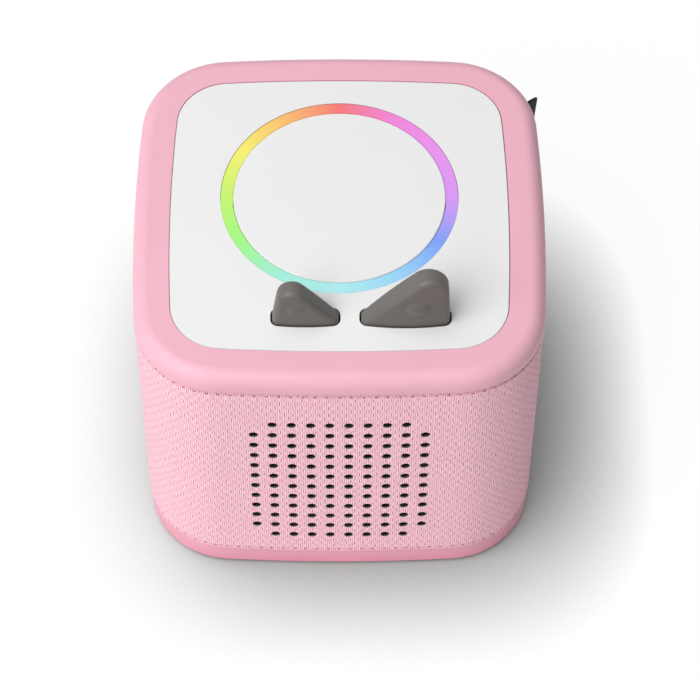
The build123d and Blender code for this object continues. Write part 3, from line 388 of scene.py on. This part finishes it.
def seam_inset(distance):
    """The closing seam is a shallow groove down the back right corner."""
    near = min(distance, GIRTH - distance)
    return 0.5 * exp(-((near / 0.8) ** 2))


def rounded(x, z, half_x, half_z, radius):
    """The nearest point on a rounded rectangle's outline."""
    core_x = max(-(half_x - radius), min(half_x - radius, x))
    core_z = max(-(half_z - radius), min(half_z - radius, z))
    away = hypot(x - core_x, z - core_z)
    return core_x + (x - core_x) * radius / away, core_z + (z - core_z) * radius / away


def on_side(x, z, inset, back):
    """The point on the front or back face at x and z, with the distance round the sleeve there."""
    radius = SIDE_RADIUS - inset
    y = SIDE_RADIUS - HALF_WIDTH - sqrt(radius**2 - x**2)
    turned = asin(x / radius) * (SIDE_RADIUS - COVER_INSET)
    return (-x, -y, z) if back else (x, y, z), (GIRTH / 8 if back else GIRTH * 5 / 8) + turned


def sleeve():
    """The sleeve as one sheet: a grid round the body, with every grille hole and the port's opening cut
    into it, and each edge turned in."""
    low = [COVER_LOW + step for step in (0, 0.12, 0.35, 0.7, 1.1, 1.6, 2.1, 2.6)]
    rows = low + [11.9 + 0.7 * i for i in range(6)]
    field_low = GRILLE_LOW - PITCH / 2
    rows += [field_low + PITCH / CELL_STEPS * i for i in range(GRILLE_ROWS * CELL_STEPS + 1)]
    rows += [84.0 + 0.75 * i for i in range(13)]
    rows += [COVER_HIGH - step for step in (2.6, 2.1, 1.6, 1.1, 0.7, 0.35, 0.12, 0)]
    rows = sorted(set(round(z, 4) for z in rows))
    columns = len(SLEEVE)
    points, uv = [], []
    for z in rows:
        for index in range(columns + 1):
            ray = SLEEVE[index % columns]
            inset = hem_inset(z) + seam_inset(ROUND[index])
            points.append((*at_inset(ray, inset), z))
            uv.append((ROUND[index], z))

    def place(column, row):
        return row * (columns + 1) + column

    def column_at(x, back):
        """The grid column at x on the front or back face."""
        spots = [at_inset(ray, COVER_INSET) for ray in SLEEVE]
        return next(i for i, spot in enumerate(spots) if abs(spot[0] - x) < 1e-6 and (spot[1] > 0) == back)

    front = column_at(-PITCH * 5, False)
    back = column_at(PORT_FIELD[0], True)
    field_row = rows.index(round(field_low, 4))
    openings = []
    for index, (skipped, count) in enumerate(GRILLE_COLUMNS):
        for column in (index, 9 - index):
            for row in range(skipped, skipped + count):
                openings.append(
                    dict(
                        middle=((column - 4.5) * PITCH, GRILLE_LOW + PITCH * row),
                        half=(HOLE_RADIUS, HOLE_RADIUS),
                        corner=HOLE_RADIUS,
                        first=(front + column * CELL_STEPS, field_row + row * CELL_STEPS),
                        size=(CELL_STEPS, CELL_STEPS),
                        back=False,
                    )
                )
    port_reach = PORT_FIELD[1] + 0.3
    port_rows = [i for i, z in enumerate(rows) if PORT[1] - port_reach < z < PORT[1] + port_reach]
    openings.append(
        dict(
            middle=PORT,
            half=PORT_HALF,
            corner=PORT_CORNER,
            first=(back, port_rows[0]),
            size=(40, port_rows[-1] - port_rows[0]),
            back=True,
        )
    )
    gone = set()
    faces, kinds = [], []
    for opening in openings:
        column, row = opening["first"]
        wide, tall = opening["size"]
        gone.update((column + i, row + j) for i in range(wide) for j in range(tall))
        edge = [(column + i, row) for i in range(wide)]
        edge += [(column + wide, row + j) for j in range(tall)]
        edge += [(column + wide - i, row + tall) for i in range(wide)]
        edge += [(column, row + tall - j) for j in range(tall)]
        loop = [place(*spot) for spot in edge]
        low_z, high_z = rows[row], rows[row + tall]
        left, right = (uv[place(column, row)][0], uv[place(column + wide, row)][0])
        for grow, depth, kind in LIP_STEPS:
            ring = []
            for spot in edge:
                u, z = ROUND[spot[0]], rows[spot[1]]
                flat_x = (2 * (u - left) / (right - left) - 1) * opening["half"][0]
                flat_z = (2 * (z - low_z) / (high_z - low_z) - 1) * opening["half"][1]
                hole = [h + grow for h in opening["half"]]
                x, z = rounded(
                    flat_x * hole[0] / opening["half"][0],
                    flat_z * hole[1] / opening["half"][1],
                    *hole,
                    opening["corner"] + grow,
                )
                point, distance = on_side(
                    x + opening["middle"][0], z + opening["middle"][1], COVER_INSET + depth, opening["back"]
                )
                ring.append(len(points))
                points.append(point)
                uv.append((distance, point[2]))
            for i in range(len(loop)):
                after = (i + 1) % len(loop)
                faces.append((loop[i], loop[after], ring[after], ring[i]))
                kinds.append(kind)
            loop = ring
    for row in range(len(rows) - 1):
        for column in range(columns):
            if (column, row) not in gone:
                corners = ((column, row), (column + 1, row), (column + 1, row + 1), (column, row + 1))
                faces.append(tuple(place(*corner) for corner in corners))
                kinds.append(0)
    layers = [pink_knit, grey_lining, deep_hole_shade]
    piece = solid_mesh("knit_sleeve", points, faces, layers, uv=uv, face_materials=kinds)
    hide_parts("fabric_cover")
    return piece


def place_on_sleeve(distance, z, lift):
    """The point that is so far round the sleeve, and the directions along it and out of it there."""
    index = next(i for i in range(len(SLEEVE)) if ROUND[i + 1] >= distance)
    share = (distance - ROUND[index]) / (ROUND[index + 1] - ROUND[index])
    inset = hem_inset(z) - lift
    near = Vector((*at_inset(SLEEVE[index], inset), z))
    far = Vector((*at_inset(SLEEVE[(index + 1) % len(SLEEVE)], inset), z))
    along = (far - near).normalized()
    return near.lerp(far, share), along, Vector((along.y, -along.x, 0))


def hem_stitches():
    """One thread stitch after another along both hems: short slanted threads that dive into the cloth."""
    points, faces = [], []
    sides, rings = 8, 9
    for z in STITCH_ROWS:
        for number in range(STITCHES):
            middle, along, out = place_on_sleeve((number + 0.0001) * STITCH_PITCH_FIT, z, 0.0)
            if z < 20 and hypot(middle.x, 0) < PORT_HALF[0] + 2 and middle.y > 50:
                continue
            lean = (along + Vector((0, 0, 0.12))).normalized()
            first = len(points)
            for ring in range(rings):
                share = 2 * ring / (rings - 1) - 1
                arch = 0.06 - 0.4 * share**4
                thick = 0.14 * sqrt(max(0.0, 1 - share**6)) + 0.02
                centre = middle + lean * (share * 1.12) + out * arch
                for side in range(sides):
                    angle = 2 * pi * side / sides
                    spot = centre + (out * cos(angle) + Vector((0, 0, 1)) * sin(angle)) * thick
                    points.append(tuple(spot))
            for ring in range(rings - 1):
                for side in range(sides):
                    a, b = first + ring * sides + side, first + ring * sides + (side + 1) % sides
                    faces.append((a, b, b + sides, a + sides))
            faces.append(tuple(first + side for side in reversed(range(sides))))
            faces.append(tuple(first + (rings - 1) * sides + side for side in range(sides)))
    piece = solid_mesh("hem_stitches", points, faces, [sewing_thread])
    return piece


# ---------------------------------------------------------------- the ribbon tag

TAG_ANGLE = radians(33.3)
TAG_CORNER = 33.57
TAG_NEAR = 25.6
TAG_FAR = 32.75
TAG_LOW = 78.5
TAG_HIGH = 93.5
TAG_SLANT = 0.8


def ribbon_tag():
    """A ribbon folded over once and sewn into the seam: two layers that part a little towards the fold."""
    out = Vector((cos(TAG_ANGLE), sin(TAG_ANGLE), 0))
    side = Vector((-out.y, out.x, 0))
    corner = Vector((TAG_CORNER, TAG_CORNER, 0))
    fold = 0.42
    path = [(0.0, -0.16), (0.3, -0.22), (0.6, -0.34), (0.85, -fold)]
    path += [(1.0, -fold * cos(pi * i / 8)) for i in range(1, 8)]
    bulge = [0.0] * 4 + [fold * sin(pi * i / 8) for i in range(1, 8)]
    path += [(0.85, fold), (0.6, 0.34), (0.3, 0.22), (0.0, 0.16)]
    bulge += [0.0] * 4
    levels = 16
    points, faces = [], []
    for level in range(levels + 1):
        share = level / levels
        z = TAG_LOW + (TAG_HIGH - TAG_LOW) * share
        far = TAG_FAR - fold - TAG_SLANT * (1 - share)
        for (reach, offset), extra in zip(path, bulge):
            wave = 0.12 * sin(pi * share) * reach
            spot = corner + out * (TAG_NEAR + (far - TAG_NEAR) * reach + extra) + side * (offset + wave)
            points.append((spot.x, spot.y, z))
    count = len(path)
    for level in range(levels):
        for i in range(count - 1):
            a = level * count + i
            faces.append((a, a + 1, a + 1 + count, a + count))
    piece = solid_mesh("ribbon_tag", points, faces, [black_ribbon])
    thick = piece.modifiers.new("thickness", "SOLIDIFY")
    thick.thickness = 0.28 * MM
    thick.offset = 0
    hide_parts("side_tag")
    return piece


# ---------------------------------------------------------------- finishes of the pieces

# The colours of the ring's twelve lamps, clockwise from the front.
LAMP_COLOURS = (
    "#A4E2E6 #9AE2D0 #96EC78 #B8EA60 #ECE662 #EEB460 "
    "#EA6C68 #E87AD0 #DE88E4 #CE8EEA #7096EC #8ECAEC"
).split()

# Pink plastic that is soft to the eye, with painted shade: a deeper pink laid by ambient occlusion into the
# hollows between pink walls.
pink_abs = moulded(
    "satin_abs_pink", "#EFB5C5", 0.45, 1.53, 0.35, 0.02, joint=("#E8789A", 7.0), Specular_IOR_Level=0.3
)
# The base's pink is a shaded copy of the rim's pink: its deeper tone is painted shade, and ambient occlusion
# lays a still deeper pink into its hollows as painted shade too.
shaded_pink_abs = moulded("satin_abs_pink_shaded", "#EEA8BA", 0.45, 1.53, 0.35, 0.02, joint=("#E8708F", 8.0))
# White plastic with painted shade: a fine grey line laid by ambient occlusion into the gaps where two pieces
# meet.
white_abs = moulded(
    "satin_abs_white", "#ECECEC", 0.4, 1.53, 0.35, 0.015, shift=0.008, joint=("#6E6E6E", 0.7)
)
# Soft rubber on the ears, with a broad dull shine; the feet are blacker and rougher.
ear_rubber = moulded("soft_touch_rubber_grey", "#686561", 0.42, 1.5, 0.3, 0.02, Specular_IOR_Level=0.35)
foot_rubber = moulded("foot_rubber_black", "#1E1D1D", 0.7, 1.52, 0.5, 0.03)
black_abs = moulded("inner_abs_black", "#161616", 0.5, 1.53, 0.4, 0.03)
# The cut edge of the cloth's foam in the holes is grey at the mouth; the black within is painted shade for
# the depth of the hole.
grey_lining = moulded("foam_lining_grey", "#5A5E50", 0.8, 1.5, 0.25, 0.06)
deep_hole_shade = moulded("deep_hole_painted_shade", "#0E0F0D", 0.9, 1.5, 0.25, 0.06)
# Matt thread, a shade deeper than the knit.
sewing_thread = moulded("sewing_thread_pink", "#E2A9B8", 0.7, 1.5, 0.25, 0.08)
steel = brushed_steel()
# The inner pieces: dull ferrite, glossy green board, and black moulded, pressed and woven parts.
ferrite = moulded("sintered_ferrite", "#2C2C2E", 0.55, 1.8, 0.2, 0.03)
board_green = moulded("solder_mask_green", "#0E5A2C", 0.3, 1.55, 2.0, 0.02)
chip_epoxy = moulded("chip_epoxy_black", "#262627", 0.45, 1.55, 0.2, 0.02)
cone_paper = moulded("pressed_paper_black", "#1B1B1B", 0.8, 1.5, 0.8, 0.08)
soft_rubber = moulded("butyl_rubber_black", "#181818", 0.6, 1.52, 0.4, 0.02)
speaker_cloth = moulded("acoustic_cloth_black", "#0C0C0C", 0.9, 1.5, 0.3, 0.15)
battery_film = moulded("shrink_film_blue", "#1F4E9E", 0.25, 1.5, 6.0, 0.05)
lead_pvc = moulded("pvc_jacket_red", "#8E1414", 0.4, 1.54, 0.6, 0.02)
pink_knit = knit()
diffuser = lit_diffuser()
black_ribbon = ribbon()

FINISHES = {
    pink_abs: "top_rim",
    shaded_pink_abs: "base_tray",
    white_abs: "top_plate stand_disc",
    diffuser: "light_ring",
    ear_rubber: "ear_large_cap ear_small_cap",
    foot_rubber: "rubber_feet",
    black_abs: "mid_shell deck_carrier ear_large_lever ear_small_lever port_bezel power_button "
    "speaker_spider ear_switches volume_up_plunger volume_down_plunger power_switch power_plunger "
    "jack_socket board_connectors speaker_terminals",
    steel: "base_screws deck_screws board_screws speaker_screws ear_shaft speaker_basket "
    "speaker_pole_plate speaker_yoke usb_socket",
    ferrite: "speaker_magnet figure_magnet",
    board_green: "main_board led_board ear_board nfc_antenna",
    chip_epoxy: "board_chips ring_leds",
    cone_paper: "speaker_cone dust_cap voice_coil",
    soft_rubber: "speaker_surround speaker_gasket",
    speaker_cloth: "grille_cloth",
    battery_film: "battery_pack",
    lead_pvc: "speaker_lead battery_lead deck_lead",
}
for material, names in FINISHES.items():
    for name in names.split():
        slots = nodes[name].data.materials
        slots.clear()
        slots.append(material)

hem_stitches()
sleeve()
ribbon_tag()

# ---------------------------------------------------------------- floor, light and camera


# The floor's painted soft shadow: how far it reaches in mm, how steeply it deepens, and which way it leans.
SHADOW_REACH = 41.0
SHADOW_DEPTH = 1.68
SHADOW_LEAN = (-0.47, -0.06, 0.87)

# The lamps, each as (place in m, power in W, side in m); both face the middle of the body.
LAMP_AIM = (0, 0, 0.05)
KEY_SOFTBOX = ((-0.87, -0.83, 1.48), 32.7, 1.5)
TOP_SOFTBOX = ((-0.5, 0.18, 1.75), 7.3, 0.9)
ROOM_STRENGTH = 0.16

# The camera: its place in m, how far it looks down, its lens and sensor in mm, and its sideways shift.
CAMERA_PLACE = (0.0, -0.525, 0.7988)
CAMERA_DOWN = 55.64
LENS = 151.13
SENSOR = 36.0
SHIFT = 0.01507


def seen_rays(tree):
    """1 for the rays of the eye, of gloss and of glass, 0 for the rays that only carry light."""
    path = add(tree, "LightPath").outputs
    clamped = dict(operation="ADD", use_clamp=True)
    direct = add(tree, "Math", {0: path["Is Camera Ray"], 1: path["Is Glossy Ray"]}, **clamped)
    direct = add(tree, "Math", {0: direct.outputs[0], 1: path["Is Transmission Ray"]}, **clamped)
    return direct.outputs[0]


def studio_floor():
    """A plain white floor. The eye, gloss and glass see it white, with a painted soft shadow: ambient
    occlusion with a leaning normal dims the white, deepest at the foot and leaning away from the lamps. The
    faint diffuse share under it still takes the lamps' own shadow."""
    material = bpy.data.materials.new("studio_floor_white")
    material.use_nodes = True
    tree = material.node_tree
    tree.nodes.clear()
    paint = add(tree, "BsdfDiffuse", {"Color": tone("#F4F4F4")})
    # Painted shadow: ambient occlusion with a leaning normal sets how bright the white glow is.
    lean = add(tree, "Normal")
    lean.outputs[0].default_value = SHADOW_LEAN
    reach = {"Distance": SHADOW_REACH * MM, "Normal": lean.outputs[0]}
    near = add(tree, "AmbientOcclusion", reach, samples=16)
    deep = add(tree, "Math", {0: near.outputs["AO"], 1: SHADOW_DEPTH}, operation="POWER")
    lit = add(tree, "Math", {0: deep.outputs[0], 1: 0.92}, operation="MULTIPLY")
    glow = add(tree, "Emission", {"Color": tone("#FFFFFF"), "Strength": lit.outputs[0]})
    faint = add(tree, "BsdfDiffuse", {"Color": tone("#585858")})
    both = add(tree, "AddShader", {0: faint.outputs[0], 1: glow.outputs[0]})
    mixed = add(tree, "MixShader", {0: seen_rays(tree), 1: paint.outputs[0], 2: both.outputs[0]})
    add(tree, "OutputMaterial", {"Surface": mixed.outputs[0]})
    mesh = bpy.data.meshes.new("floor")
    mesh.from_pydata([(-3, -3, 0), (3, -3, 0), (3, 3, 0), (-3, 3, 0)], [], [(0, 1, 2, 3)])
    mesh.materials.append(material)
    floor = bpy.data.objects.new("floor", mesh)
    bpy.context.scene.collection.objects.link(floor)


def softbox(name, place, power, size):
    """A square lamp that faces the body."""
    lamp = bpy.data.lights.new(name, "AREA")
    lamp.shape = "SQUARE"
    lamp.size = size
    lamp.energy = power
    holder = bpy.data.objects.new(name, lamp)
    holder.location = place
    holder.rotation_euler = (Vector(LAMP_AIM) - Vector(place)).to_track_quat("-Z", "Y").to_euler()
    bpy.context.scene.collection.objects.link(holder)


def room_light(strength):
    """Even light from all round, and a plain white room for the eye, for gloss and for glass."""
    world = bpy.data.worlds.new("studio")
    bpy.context.scene.world = world
    world.use_nodes = True
    tree = world.node_tree
    tree.nodes.clear()
    lit = add(tree, "Background", {"Color": tone("#FFFFFF"), "Strength": strength})
    seen = add(tree, "Background", {"Color": tone("#FFFFFF"), "Strength": 1.0})
    mixed = add(tree, "MixShader", {0: seen_rays(tree), 1: lit.outputs[0], 2: seen.outputs[0]})
    add(tree, "OutputWorld", {"Surface": mixed.outputs[0]})


studio_floor()
room_light(ROOM_STRENGTH)
softbox("key_softbox", *KEY_SOFTBOX)
softbox("top_softbox", *TOP_SOFTBOX)

eye = bpy.data.cameras.new("camera")
eye.lens = LENS
eye.sensor_width = SENSOR
eye.shift_x = SHIFT
camera = bpy.data.objects.new("camera", eye)
camera.location = CAMERA_PLACE
camera.rotation_euler = (radians(90 - CAMERA_DOWN), 0.0, 0.0)
bpy.context.scene.collection.objects.link(camera)
bpy.context.scene.camera = camera
bpy.context.scene.view_settings.view_transform = "Standard"
